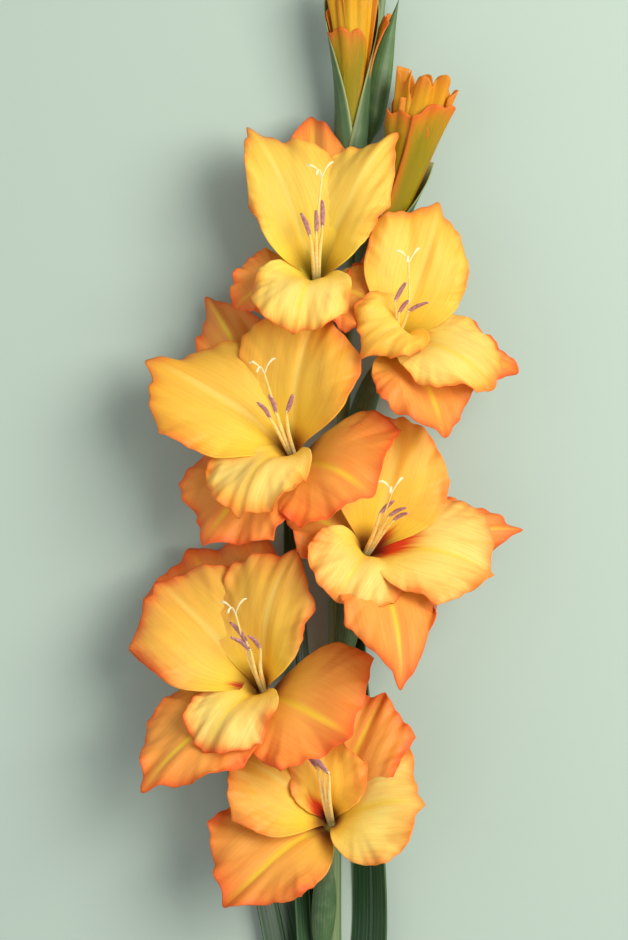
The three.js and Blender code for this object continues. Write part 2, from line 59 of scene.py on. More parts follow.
def add_camera():
    camera = bpy.data.objects.new("camera", bpy.data.cameras.new("camera"))
    camera.data.sensor_width = SENSOR
    camera.data.lens = SENSOR * (VIEW_HEIGHT - VIEW_LEVEL) / VIEW_FIELD
    camera.location = to_frame((0, 0, VIEW_HEIGHT))
    camera.data.clip_end = 20
    bpy.context.collection.objects.link(camera)
    bpy.context.scene.camera = camera


def add_light(name, place, size, power, colour):
    light = bpy.data.objects.new(name, bpy.data.lights.new(name, "AREA"))
    light.data.size = size
    light.data.energy = power
    light.data.color = colour
    light.location = place
    light.rotation_euler = (-Vector(place)).to_track_quat("-Z", "Y").to_euler()
    bpy.context.collection.objects.link(light)


def add_studio():
    add_light("key", (0.95, 0.4, 1.3), 1.1, 33, (1.0, 0.96, 0.9))
    add_light("fill", (-1.4, -0.3, 1.5), 1.8, 6, (0.96, 0.98, 1.0))
    world = bpy.data.worlds.new("studio")
    world.use_nodes = True
    background = world.node_tree.nodes["Background"]
    background.inputs["Color"].default_value = (0.97, 0.97, 1.0, 1)
    background.inputs["Strength"].default_value = 0.44
    bpy.context.scene.world = world
    bpy.context.scene.view_settings.view_transform = "Standard"


# ---------------------------------------------------------------- curves and frames

def unit(v):
    v = np.asarray(v, float)
    return v / np.linalg.norm(v, axis=-1, keepdims=True)


class Path:
    """A smooth line through points, even in length: at(t) is a place and along(t) its direction."""

    def __init__(self, points):
        points = np.asarray(points, float)
        before = np.vstack([2 * points[0] - points[1], points[:-1]])
        after = np.vstack([points[1:], 2 * points[-1] - points[-2]])
        slopes = (after - before) / 2
        t = np.linspace(0, 1, 24)[:, None]
        pieces = [
            (2 * t**3 - 3 * t**2 + 1) * p + (t**3 - 2 * t**2 + t) * m
            + (3 * t**2 - 2 * t**3) * q + (t**3 - t**2) * n
            for p, q, m, n in zip(points[:-1], points[1:], slopes[:-1], slopes[1:])
        ]
        self.line = np.vstack([pieces[0][:1]] + [piece[1:] for piece in pieces])
        steps = np.linalg.norm(np.diff(self.line, axis=0), axis=1)
        self.run = np.concatenate([[0], np.cumsum(steps)])
        self.length = self.run[-1]

    def at(self, t):
        reach = np.asarray(t, float) * self.length
        return np.stack([np.interp(reach, self.run, self.line[:, axis]) for axis in range(3)], -1)

    def along(self, t):
        step = 0.004
        t = np.asarray(t, float)
        return unit(self.at(np.minimum(t + step, 1)) - self.at(np.maximum(t - step, 0)))


def bezier(start, leave, arrive, end):
    t = np.linspace(0, 1, 16)[:, None]
    start, leave, arrive, end = (np.asarray(p, float) for p in (start, leave, arrive, end))
    return Path((1 - t)**3 * start + 3 * t * (1 - t)**2 * leave + 3 * t**2 * (1 - t) * arrive + t**3 * end)


def smoothstep(x, low, high):
    x = np.clip((np.asarray(x, float) - low) / (high - low), 0, 1)
    return x * x * (3 - 2 * x)


# ---------------------------------------------------------------- meshes

def grid_mesh(name, across, along, place, material, wall=0.0, roll=False):
    """A grid bent by place(u, v), u and v arrays from 0 to 1, with its own UV map.

    roll joins the two long sides into a tube and closes both ends. wall gives a thin sheet its body.
    """
    bm = bmesh.new()
    bm.loops.layers.uv.new("UVMap")
    bmesh.ops.create_grid(bm, x_segments=across, y_segments=along, size=0.5, calc_uvs=True)
    corners = np.array([vertex.co[:2] for vertex in bm.verts]) + 0.5
    for vertex, spot in zip(bm.verts, to_frame(place(corners[:, 0], corners[:, 1]))):
        vertex.co = spot
    if roll:
        bmesh.ops.remove_doubles(bm, verts=bm.verts, dist=1e-6)
        rims = [edge for edge in bm.edges if edge.is_boundary]
        bmesh.ops.holes_fill(bm, edges=rims, sides=0)
        bmesh.ops.recalc_face_normals(bm, faces=bm.faces)
    for face in bm.faces:
        face.smooth = True
    mesh = bpy.data.meshes.new(name)
    bm.to_mesh(mesh)
    bm.free()
    mesh.materials.append(material)
    piece = bpy.data.objects.new(name, mesh)
    bpy.context.collection.objects.link(piece)
    if wall:
        body = piece.modifiers.new("wall", "SOLIDIFY")
        body.thickness = wall * MM
        body.offset = 0
    return piece


def stand_in(piece, slot, *nodes):
    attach(piece, "root")
    if nodes:
        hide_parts(*nodes)


def rod_mesh(name, path, radius, material, sides=16, steps=24, reference=(1, 0, 0), depth=1.0, lobes=None):
    """A closed round rod along a path. radius(t) is half its width; depth flattens it."""
    def place(u, v):
        tangent = path.along(v)
        reference_array = np.broadcast_to(np.asarray(reference, float), tangent.shape)
        side = unit(reference_array - tangent * np.sum(reference_array * tangent, -1, keepdims=True))
        other = np.cross(tangent, side)
        angle = 2 * math.pi * u
        reach = radius(v) * (1 if lobes is None else lobes(angle, v))
        return (path.at(v) + side * (reach * np.cos(angle))[:, None]
                + other * (reach * depth * np.sin(angle))[:, None])
    return grid_mesh(name, sides, steps, place, material, roll=True)


def blade_mesh(name, path, half_width, wrap, turn, material, wall=0.8, across=12, along=60, wave=None):
    """A leaf-like blade along a path. Its section follows an arc of radius wrap, turned by turn(t)."""
    def place(u, v):
        tangent = path.along(v)
        right = unit(np.cross(tangent, np.array([0.0, 0.0, 1.0])))
        up = unit(np.cross(right, tangent))
        angle = turn(v)
        cosine, sine = np.cos(angle)[:, None], np.sin(angle)[:, None]
        width = right * cosine + up * sine
        depth = up * cosine - right * sine
        bend = (2 * u - 1) * half_width(v) / wrap
        lift = wrap * (1 - np.cos(bend))
        if wave is not None:
            lift = lift + wave(2 * u - 1, v)
        return path.at(v) + width * (wrap * np.sin(bend))[:, None] + depth * lift[:, None]
    return grid_mesh(name, across, along, place, material, wall=wall)


# ---------------------------------------------------------------- the flowers' shapes

WHORLS = {
    "inner": dict(open=(20, 50, 100), claw=0.16, tip_power=1.8, round=0.38, hug=1, pleat=0.75,
                  ring_radius=2.6, ring_lift=0),
    "lip": dict(open=(14, 60, 118), claw=0.28, tip_power=3, round=0.3, hug=1, pleat=0.95,
                ring_radius=2.6, ring_lift=0),
    "outer": dict(open=(28, 76, 112), claw=0.16, tip_power=1.5, round=0.38, hug=0.45, pleat=0.9,
                  ring_radius=3.8, ring_lift=-3.5),
}
FULL_WIDTH_AT = 0.5       # where along a tepal it reaches its full width
TEPAL_POINT = 0.05        # extra length of the small point at its tip, as a part of the length
TEPAL_POINT_WIDTH = 0.12  # half width of that point, as a part of the half width
FOOT_ROOM = (1.4, 100)    # how wide a tepal may be at a distance from the axis, and how that grows
MIDRIB_REACH = 1.15       # how far a midrib is followed, as a part of its length
RUFFLE = 2.0              # how far the frills of a rim stand off, in millimetres
TEPAL_WALL = 0.5
TUBE_MOUTH_DEPTH = 4.4

# Every tepal: whorl, azimuth, length, half widths, and what differs from its whorl. A mark is a
# tongue of red in the throat: how strong it is, how far it reaches and to which side it lies.
# Stamens are given as foot and tip of each anther, and the style by its tip, as
# (aside, reach, rise) in the flower's own frame.
FLOWERS = [
    dict(
        throat=(1, 96, 36), side=-2, up=38, foot_y=48,
        tepals={
            "inner_lip": ("lip", -168, 54, (23, 26), dict(open=(14, 68, 135))),
            "inner_left": ("inner", -28, 86, (20, 33), dict(
                open=(22, 46, 105), round=(0.45, 0.35), claw=(0.75, 0.2))),
            "inner_right": ("inner", 35, 82, (25, 19), dict(
                open=(22, 46, 105), round=(0.26, 0.38), claw=(0.2, 0.75))),
            "outer_right": ("outer", 122, 45, (18, 22), dict(open=(40, 88, 140), round=0.3)),
            "outer_left": ("outer", -112, 48, (24, 22), dict(open=(30, 86, 125), round=0.35)),
            "outer_top": ("outer", -2, 94, (24, 26), dict(
                open=(26, 62, 105), round=(0.5, 0.38), tip_power=1.2)),
        },
        anthers=[((-2, 32, 1), (-6.5, 43, 7)), ((1, 33, 2), (1, 44, 8)), ((4, 34, 5), (4, 46, 13))],
        stigma=(4, 56, 19),
    ),
    dict(
        throat=(41, 63, 34), side=20, up=34, foot_y=12,
        tepals={
            "inner_left": ("inner", -124, 54, (18, 22), dict(open=(-10, 15, 170), round=0.25)),
            "inner_right": ("lip", 142, 66, (24, 26), dict(
                open=(16, 62, 100), tip_power=2.2, claw=0.16, mark=(0.9, 0.36, -0.35))),
            "inner_top": ("inner", 20, 74, (30, 24), dict(open=(18, 44, 90), round=(0.2, 0.35))),
            "outer_bottom": ("outer", 172, 66, (26, 26), dict(open=(28, 84, 110))),
            "outer_right": ("outer", 118, 62, (22, 22), dict(open=(28, 80, 95))),
            "outer_top": ("outer", -8, 54, (26, 26), dict(open=(26, 66, 105))),
        },
        anthers=[((-8, 30, -1), (-6, 40, 0)), ((-3, 30, 0), (4.5, 40, -1)), ((-10, 33, 4), (-7, 44, 8))],
        stigma=(-7, 52, 14),
    ),
    dict(
        throat=(-11, 7, 36), side=-16, up=36, foot_y=-42,
        tepals={
            "inner_lip": ("lip", -166, 63, (24, 28), dict(mark=(0.8, 0.2, 0))),
            "inner_right": ("inner", 14, 76, (32, 32), dict(open=(20, 44, 75), round=0.25, cup=(0.5, 0.1))),
            "inner_left": ("inner", -69, 86, (34, 34), dict(
                open=(20, 54, 100), round=(0.25, 0.4), mark=(0.9, 0.2, -0.7))),
            "outer_right": ("outer", 124, 60, (40, 34), dict(open=(32, 82, 105), round=0.25)),
            "outer_left": ("outer", -148, 66, (30, 34), dict(open=(32, 96, 125), round=0.25)),
            "outer_top": ("outer", -34, 98, (24, 22), dict(open=(26, 62, 105))),
        },
        anthers=[((-4, 31, 1), (-9, 41, 4)), ((-1, 33, 3), (-3, 43, 7)), ((4, 32, 4), (9, 42, 8))],
        stigma=(-3.5, 54, 12),
    ),
    dict(
        throat=(26.5, -43, 34), side=18, up=32, foot_y=-94,
        tepals={
            "inner_left": ("lip", -142, 54, (26, 26), dict(open=(14, 60, 122))),
            "inner_right": ("lip", 118, 70, (34, 30), dict(
                open=(18, 62, 100), tip_power=2.2, claw=0.16, mark=(1.0, 0.56, -0.25))),
            "inner_top": ("inner", 17, 74, (30, 30), dict(
                open=(20, 44, 80), round=(0.2, 0.35), mark=(0.9, 0.3, 0.5))),
            "outer_bottom": ("outer", 180, 86, (25, 25), dict(open=(30, 86, 110), round=(0.5, 0.4))),
            "outer_right": ("outer", 90, 77, (22, 20), dict(open=(28, 80, 105))),
            "outer_left": ("outer", -60, 50, (26, 24), dict(open=(28, 78, 120))),
        },
        anthers=[((1, 37, 1), (7.5, 46, 1)), ((-3, 36, 3), (2, 46, 5)), ((4, 35, 0), (9, 44, -1))],
        stigma=(-1, 52, 6),
    ),
    dict(
        throat=(-26.5, -113, 36), side=-16, up=34, foot_y=-163,
        tepals={
            "inner_lip": ("lip", -160, 57, (24, 20), dict(mark=(0.6, 0.18, 0))),
            "inner_right": ("inner", 20, 78, (30, 22), dict(
                open=(14, 40, 95), round=(0.2, 0.3), claw=(0.16, 0.4))),
            "inner_left": ("inner", -52, 79, (36, 34), dict(
                open=(20, 52, 95), round=(0.2, 0.3), mark=(1.0, 0.26, -0.7))),
            "outer_right": ("outer", 120, 63, (42, 34), dict(open=(32, 86, 105), round=0.25)),
            "outer_left": ("outer", -144, 80, (30, 28), dict(open=(32, 92, 105), round=(0.4, 0.3))),
            "outer_top": ("outer", -32, 86, (34, 38), dict(open=(26, 62, 100), round=(0.15, 0.2))),
        },
        anthers=[((1, 38, 7), (-7, 47, 14)), ((2, 34, 5), (-6, 44, 7)), ((7, 34, 6), (3, 44, 8))],
        stigma=(-3, 52, 16),
    ),
    dict(
        throat=(8.5, -180, 34), side=-8, up=32, foot_y=-246,
        tepals={
            "inner_right": ("lip", 90, 54, (44, 32), dict(
                open=(18, 60, 110), round=0.25, mark=(0.9, 0.24, -0.4))),
            "inner_left": ("inner", -65, 63, (30, 28), dict(
                open=(20, 54, 95), round=0.25, mark=(1.0, 0.42, 0.5))),
            "inner_top": ("inner", -4, 56, (18, 22), dict(open=(8, 30, 60), mark=(1.0, 0.5, -0.5))),
            "outer_left": ("outer", -136, 72, (26, 38), dict(
                open=(30, 90, 110), round=(0.4, 0.3), mark=(0.9, 0.24, 0.8))),
            "outer_right": ("outer", 26, 72, (22, 24), dict(open=(24, 58, 85), round=0.15)),
            "outer_top": ("outer", -25, 60, (24, 24), dict(open=(24, 58, 90))),
        },
        anthers=[((0, 40, 11), (-12, 50, 20)), ((3, 39, 9), (-9, 49, 17)), ((-3, 38, 12), (-14, 48, 22))],
        stigma=(-5, 44, 18),
    ),
]


def flower_frame(flower):
    axis = unit([math.tan(math.radians(flower["side"])), math.tan(math.radians(flower["up"])), 1])
    up = unit(np.array([0, 1, 0]) - axis * axis[1])
    return axis, up, np.cross(up, axis)


def both_sides(value, u):
    """A value, or a pair of values for the two halves of a tepal, spread over its points."""
    low, high = value if isinstance(value, tuple) else (value, value)
    return np.where(u < 0, low, high)


def tepal_place(flower, tepal, seed):
    whorl, azimuth, length, widths, own = tepal
    shape = {**dict(cup=0, ruffle=RUFFLE), **WHORLS[whorl], **own}
    chance = np.random.default_rng(seed)
    phases = chance.uniform(0, 2 * math.pi, 10)
    axis, up, right = flower_frame(flower)
    turn = math.radians(azimuth)
    outward = math.cos(turn) * up + math.sin(turn) * right
    tangent = -math.sin(turn) * up + math.cos(turn) * right
    t = np.linspace(0, MIDRIB_REACH, 116)
    foot, middle, tip = (math.radians(angle) for angle in shape["open"])
    angles = (1 - t)**2 * foot + 2 * t * (1 - t) * middle + t**2 * tip
    stride = length * MIDRIB_REACH / (len(t) - 1)
    halfway = (angles[1:] + angles[:-1]) / 2
    radii = shape["ring_radius"] + stride * np.concatenate([[0], np.cumsum(np.sin(halfway))])
    heights = shape["ring_lift"] + stride * np.concatenate([[0], np.cumsum(np.cos(halfway))])
    pinch_side = math.copysign(1, math.sin(phases[0]))

    def place(u, v):
        u = 2 * u - 1
        width = both_sides(widths, u)
        growth = np.sin(math.pi / 2 * np.minimum(v / FULL_WIDTH_AT, 1)**0.9)
        claw = both_sides(shape["claw"], u)
        spread = width * (claw + (1 - claw) * growth)
        room = FOOT_ROOM[0] * np.interp(v, t, radii) + FOOT_ROOM[1] * v**2
        lateral = u * spread * room / (spread**4 + room**4)**0.25
        notches = 0.008 * v**3 * (np.sin(9 * u + phases[0]) + 0.7 * np.sin(21 * u + phases[1]))
        fall_away = both_sides(shape["round"], u) * np.abs(u)**shape["tip_power"] * v**1.5
        at = v * (1 - fall_away) + TEPAL_POINT * v**4 * np.exp(-(u / TEPAL_POINT_WIDTH)**2) + notches
        angle, radius, height = (np.interp(at, t, values) for values in (angles, radii, heights))
        wrap = shape["hug"] * np.maximum(np.cos(angle), 0) / radius * np.maximum(1 - at, 0)**2
        bend = np.maximum(wrap + both_sides(shape["cup"], u) / width * at**2, 1e-5)
        inward = (1 - np.cos(lateral * bend)) / bend
        # frills: waves round the rim that die out towards the middle and the foot
        round_rim = np.arctan2(lateral, length * (at - 0.35))
        rim = np.maximum(np.abs(u)**3, v**5) * smoothstep(v, 0.15, 0.75)
        frill = (np.sin(7 * round_rim + phases[2]) + 0.6 * np.sin(15 * round_rim + phases[3])
                 + 0.3 * np.sin(34 * round_rim + phases[4]))
        # slow hollows over the whole blade, pleats that fan out from the foot, a rolled-back margin,
        # and a fold along the middle that pinches the tip
        swell = (2.6 * np.sin(2.4 * u + phases[5]) * np.sin(4.2 * v + phases[6])
                 + 1.7 * np.sin(4.8 * u + phases[8]) * np.sin(7.3 * v + phases[9])) * v
        pleats = np.sin(9 * u + 2.5 * v + phases[7]) + 0.5 * np.sin(21 * u + 2 * v + phases[3])
        pleats = shape["pleat"] * pleats * smoothstep(v, 0.1, 0.7) * (0.3 + rim)
        rolled = -2.4 * np.abs(u)**5 * smoothstep(v, 0.25, 0.8)
        pinch = pinch_side * 2.6 * np.exp(-np.abs(u / 0.24)**1.5) * smoothstep(v, 0.5, 1)
        rib = -1.4 * np.exp(-(lateral / 3.0)**2) * smoothstep(v, 0, 0.3) * (1 - 0.75 * v)
        inward = inward + shape["ruffle"] * rim * frill + swell + pleats + rolled + pinch + rib
        return (np.array(flower["throat"], float)
                + (radius - inward * np.cos(angle))[:, None] * outward
                + (height + inward * np.sin(angle))[:, None] * axis
                + (np.sin(lateral * bend) / bend)[:, None] * tangent)
    return place


# ---------------------------------------------------------------- stem, leaves and buds

STEM_PATH = [
    (12, -435, 5.6), (10.5, -330, 5.6), (9.7, -265, 6), (9.7, -215, 7), (10.6, -115, 8.5), (13.2, -15, 9),
    (15.6, 35, 9), (18.2, 85, 8.5), (22, 135, 7.5), (27.8, 185, 6.5), (34, 235, 5.5), (41, 298, 5),
]
STEM_RADII = (5.5, 2.0)
LEAVES = {
    "leaf_left_outer": (11.5, (-24, -8), [
        (3, -352, 4), (-5, -310, 3), (-18, -235, 2.6), (-31, -185, 2.4), (-45, -122, 2.2), (-57, -66, 2)]),
    "leaf_left_inner": (9.5, (-34, -20), [
        (4, -326, 9.5), (2.5, -290, 7.5), (-1.5, -235, 6.6), (-6, -150, 5.6), (-11, -60, 5), (-15, 18, 4.4)]),
    "leaf_right": (11, (26, 62), [
        (17, -345, 6), (22, -300, 4.6), (29.5, -240, 5), (27.5, -165, 7.6), (22.5, -95, 8), (25.5, -20, 7),
        (30, 38, 5)]),
}
# Half-opened buds: radii of the belly and the mouth, path, the outer petals as (middle, half span,
# reach, flare) and two bracts as (middle, half span, reach, narrowing).
OPENING_BUDS = {
    "bud_7": (9.5, 14, [(23, 88, 12), (29, 108, 16), (38, 132, 20), (49, 165, 26), (57, 197, 32)],
              [(130, 76, 0.86, 2.4), (35, 68, 0.93, 3.0), (262, 80, 0.95, 1.5)],
              [(200, 150, 0.86, 1.4), (-25, 150, 0.68, 1.4)]),
    "bud_8": (7, 12, [(18, 132, 11), (18, 152, 15), (19.5, 184, 19), (19.5, 216, 25), (18.5, 250, 30)],
              [(118, 84, 0.8, 0.8), (-8, 40, 0.85, 8.0), (250, 80, 0.92, 1.0)],
              [(215, 165, 0.97, 1.6), (-45, 172, 1.02, 1.4)]),
}
CLOSED_BUDS = {
    "bud_9": (7.2, [(28.5, 168, 8.5), (32.5, 196, 10), (37.5, 220, 10), (44.5, 246, 9)]),
    "bud_10": (4.8, [(30, 226, 7), (27.5, 248, 9), (28, 266, 9), (30, 284, 8)]),
    "bud_11": (4.2, [(38.5, 260, 6), (44.5, 278, 7.5), (48.5, 294, 7), (51, 308, 6)]),
    "spike_tip": (4.0, [(41.3, 299.5, 5), (43, 314, 5.4), (45.5, 330, 5), (48.5, 345, 4)]),
}


# ---------------------------------------------------------------- node trees

class Tree:
    """Short ways to add nodes to one node tree. A value is a number, a colour or another socket."""

    def __init__(self, tree):
        self.tree = tree

    def node(self, kind, inputs=None, **settings):
        node = self.tree.nodes.new("ShaderNode" + kind)
        for name, value in settings.items():
            setattr(node, name, value)
        for name, value in (inputs or {}).items():
            self.put(node.inputs[name], value)
        return node

    def put(self, socket, value):
        if isinstance(value, bpy.types.NodeSocket):
            self.tree.links.new(value, socket)
        elif isinstance(value, tuple) and len(value) == 3 and socket.type == "RGBA":
            socket.default_value = (*value, 1)
        else:
            socket.default_value = value

    def math(self, operation, *values):
        node = self.node("Math", operation=operation)
        for socket, value in zip(node.inputs, values):
            self.put(socket, value)
        return node.outputs[0]

    def mix(self, factor, first, second, blend="MIX"):
        node = self.node("Mix", data_type="RGBA", blend_type=blend)
        colours = [socket for socket in node.inputs if socket.type == "RGBA"]
        self.put(node.inputs[0], factor)
        self.put(colours[0], first)
        self.put(colours[1], second)
        return [socket for socket in node.outputs if socket.type == "RGBA"][0]

    def step(self, value, low, high, to_low=0.0, to_high=1.0):
        node = self.node("MapRange", dict(
            Value=value, **{"From Min": low, "From Max": high, "To Min": to_low, "To Max": to_high}),
            interpolation_type="SMOOTHSTEP")
        return node.outputs[0]

    def noise(self, vector, scale, detail=2.0, distortion=0.0):
        node = self.node("TexNoise", dict(
            Vector=vector, Scale=scale, Detail=detail, Distortion=distortion))
        return node.outputs["Fac"]

    def stretched(self, vector, scale, shift=0.0):
        node = self.node("VectorMath", dict(), operation="MULTIPLY_ADD")
        self.put(node.inputs[0], vector)
        node.inputs[1].default_value = scale
        if isinstance(shift, bpy.types.NodeSocket):
            self.put(node.inputs[2], shift)
        else:
            node.inputs[2].default_value = (shift, shift, shift)
        return node.outputs[0]


def new_group(name, inputs, outputs):
    tree = bpy.data.node_groups.new(name, "ShaderNodeTree")
    kinds = {"colour": "NodeSocketColor", "number": "NodeSocketFloat"}
    for label, kind in inputs.items():
        tree.interface.new_socket(label, in_out="INPUT", socket_type=kinds[kind])
    for label, kind in outputs.items():
        tree.interface.new_socket(label, in_out="OUTPUT", socket_type=kinds[kind])
    source = tree.nodes.new("NodeGroupInput")
    target = tree.nodes.new("NodeGroupOutput")
    return Tree(tree), source.outputs, target.inputs


def tepal_paint():
    """Colour and relief of one tepal from its UV map: u runs across it and v from foot to tip."""
    colours = ("Heart", "Body", "Blush", "Rim", "Rib", "Mark", "Throat")
    numbers = ("Blush Reach", "Rib Strength", "Mark Strength", "Mark Reach", "Mark Side",
               "Throat Strength", "Seed")
    inputs = {**{name: "colour" for name in colours}, **{name: "number" for name in numbers}}
    tree, given, result = new_group("tepal_paint", inputs, {"Colour": "colour", "Height": "number"})
    uv = tree.node("UVMap", uv_map="UVMap").outputs["UV"]
    parts = tree.node("SeparateXYZ", dict(Vector=uv)).outputs
    u, v = parts["X"], parts["Y"]
    side = tree.math("MULTIPLY_ADD", u, 2.0, -1.0)
    across = tree.math("ABSOLUTE", side)
    cloud = tree.noise(tree.stretched(uv, (2.6, 2.2, 1), given["Seed"]), 1.0, 3.0)
    flecks = tree.noise(tree.stretched(uv, (40.0, 6.0, 1), given["Seed"]), 1.0, 3.0, 0.4)
    streaks = tree.noise(tree.stretched(uv, (85.0, 2.0, 1), given["Seed"]), 1.0, 2.0, 0.15)

    def wander(start, noise, amount):
        return tree.math("MULTIPLY_ADD", tree.math("SUBTRACT", noise, 0.5), amount, start)

    # how near a point is to the rim: 0 along the middle, 1 at the margin
    flank = tree.math("MULTIPLY", tree.math("POWER", across, 2.0), tree.step(v, 0.1, 0.6))
    near = tree.math("MAXIMUM", flank, tree.math("POWER", v, 3.2))
    loose = wander(wander(near, cloud, 1.0), streaks, 0.3)
    blush = tree.step(loose, tree.math("SUBTRACT", 1.0, given["Blush Reach"]), 1.1)
    rim_near = tree.math("MAXIMUM", tree.math("MULTIPLY", tree.math("POWER", across, 5.0),
                                              tree.step(v, 0.2, 0.7)), tree.math("POWER", v, 10.0))
    rim = tree.step(wander(wander(rim_near, flecks, 0.5), cloud, 0.9), 0.3, 1.1)
    heart = tree.step(wander(tree.math("MULTIPLY_ADD", across, 0.1, v), cloud, 0.3), 0.66, 0.1)
    colour = tree.mix(heart, given["Body"], given["Heart"])
    colour = tree.mix(blush, colour, given["Blush"])
    colour = tree.mix(rim, colour, given["Rim"])
    vein = tree.math("MULTIPLY", tree.step(streaks, 0.42, 0.72), 0.16)
    colour = tree.mix(vein, colour, given["Rim"])
    # the pale band along the midrib, soft at its sides and fading before the tip
    spread = tree.math("MULTIPLY_ADD", v, -0.09, 0.15)
    bell = tree.step(wander(across, streaks, 0.05), spread, 0.0)
    fade = tree.math("MULTIPLY", bell, tree.step(v, 1.0, 0.7))
    colour = tree.mix(tree.math("MULTIPLY", fade, given["Rib Strength"]), colour, given["Rib"])
    # the guide mark: a tongue of colour in the throat, feathered along the veins
    aside = tree.math("ABSOLUTE", tree.math("SUBTRACT", side, given["Mark Side"]))
    tongue = wander(wander(tree.math("MULTIPLY_ADD", aside, 0.35, v), streaks, 0.22), cloud, 0.12)
    edge = tree.math("MULTIPLY", given["Mark Reach"], 0.6)
    mark = tree.math("MULTIPLY", tree.step(tongue, given["Mark Reach"], edge), given["Mark Strength"])
    colour = tree.mix(mark, colour, given["Mark"])
    # painted shade: the foot of each tepal darkens towards the Throat colour where the deep funnel lies in
    # shade; where that colour is maroon it is partly the flower's own throat colour
    throat_shade = tree.math("MULTIPLY", tree.step(wander(v, streaks, 0.06), 0.26, 0.07), given["Throat Strength"])
    colour = tree.mix(throat_shade, colour, given["Throat"])
    tree.put(result["Colour"], colour)
    veins = tree.math("MULTIPLY", streaks, 0.8)
    tree.put(result["Height"], tree.math("MULTIPLY_ADD", flecks, 0.5, veins))
    return tree.tree


def green_paint():
    """Colour and relief of leaves, bracts and stems: ribs along them, mottling, and a paler margin."""
    colours = ("Dark", "Light", "Margin")
    numbers = ("Ribs", "Margin Strength", "Mottle", "Seed")
    inputs = {**{name: "colour" for name in colours}, **{name: "number" for name in numbers}}
    tree, given, result = new_group("green_paint", inputs, {"Colour": "colour", "Height": "number"})
    uv = tree.node("UVMap", uv_map="UVMap").outputs["UV"]
    parts = tree.node("SeparateXYZ", dict(Vector=uv)).outputs
    u, v = parts["X"], parts["Y"]
    across = tree.math("ABSOLUTE", tree.math("MULTIPLY_ADD", u, 2.0, -1.0))
    cloud = tree.noise(tree.stretched(uv, (3.0, 9.0, 1), given["Seed"]), 1.0, 4.0)
    streaks = tree.noise(tree.stretched(uv, (46.0, 2.0, 1), given["Seed"]), 1.0, 3.0)
    wave = tree.math("SINE", tree.math("MULTIPLY", tree.math("MULTIPLY", u, given["Ribs"]), 2 * math.pi))
    rib = tree.step(wave, -0.4, 1.0)
    tone = tree.math("MULTIPLY_ADD", tree.math("SUBTRACT", cloud, 0.5), given["Mottle"],
                     tree.math("MULTIPLY_ADD", streaks, 0.5, tree.math("MULTIPLY", rib, 0.1)))
    colour = tree.mix(tree.step(tone, 0.15, 0.75), given["Dark"], given["Light"])
    edge = tree.math("MULTIPLY", tree.step(across, 0.88, 1.0), given["Margin Strength"])
    tip = tree.math("MULTIPLY", tree.step(v, 0.86, 1.0), given["Margin Strength"])
    colour = tree.mix(tree.math("MAXIMUM", edge, tip), colour, given["Margin"])
    tree.put(result["Colour"], colour)
    tree.put(result["Height"], tree.math("MULTIPLY_ADD", streaks, 0.4, rib))
    return tree.tree


GROUPS = {"tepal_paint": tepal_paint(), "green_paint": green_paint()}


def painted(name, group, values, roughness, bump=0.2, bump_depth=0.0004, surface=None):
    """A material whose colour and relief come from one of the shared groups."""
    material = bpy.data.materials.new(name)
    material.use_nodes = True
    tree = Tree(material.node_tree)
    shader = material.node_tree.nodes["Principled BSDF"]
    paint = tree.node("Group", node_tree=GROUPS[group])
    for label, value in values.items():
        tree.put(paint.inputs[label], value)
    bumped = tree.node("Bump", dict(Height=paint.outputs["Height"], Strength=bump, Distance=bump_depth))
    tree.put(shader.inputs["Base Color"], paint.outputs["Colour"])
    tree.put(shader.inputs["Normal"], bumped.outputs[0])
    shader.inputs["Roughness"].default_value = roughness
    for label, value in (surface or {}).items():
        shader.inputs[label].default_value = value
    return material


SOFT_FLESH = {
    "Subsurface Weight": 0.4, "Subsurface Radius": (1.0, 0.45, 0.15), "Subsurface Scale": 0.005,
    "Specular IOR Level": 0.2,
}

CREAM = (0.98, 0.64, 0.16)
YELLOW = (0.98, 0.60, 0.045)
STRAW = (0.95, 0.55, 0.085)
GOLD = (0.95, 0.48, 0.06)
AMBER = (0.93, 0.36, 0.03)
PEACH = (0.93, 0.35, 0.065)
SALMON = (0.88, 0.21, 0.035)
VERMILION = (0.80, 0.11, 0.02)
SCARLET = (0.70, 0.045, 0.012)
# the deep throat's maroon: partly the flower's own colour, partly painted shade of the funnel
MAROON_AND_SHADE = (0.09, 0.012, 0.008)
# painted shade: the dim olive of the top flowers' deep throats
OLIVE_SHADE = (0.22, 0.17, 0.012)

# Heart, body, blush and rim of the inner tepals, then the colour and strength of the painted shade deep in
# the throat (with maroon partly the flower's own colour), from the top flower, the palest, to the lowest.
INNER_PALETTES = [
    (YELLOW, STRAW, GOLD, SALMON, OLIVE_SHADE, 0.9), (YELLOW, STRAW, AMBER, SALMON, OLIVE_SHADE, 0.4),
    (YELLOW, GOLD, AMBER, SALMON, MAROON_AND_SHADE, 0.8), (YELLOW, GOLD, PEACH, SALMON, MAROON_AND_SHADE, 0.9),
    (YELLOW, GOLD, PEACH, VERMILION, MAROON_AND_SHADE, 0.8), (YELLOW, GOLD, PEACH, SALMON, MAROON_AND_SHADE, 0.9),
]


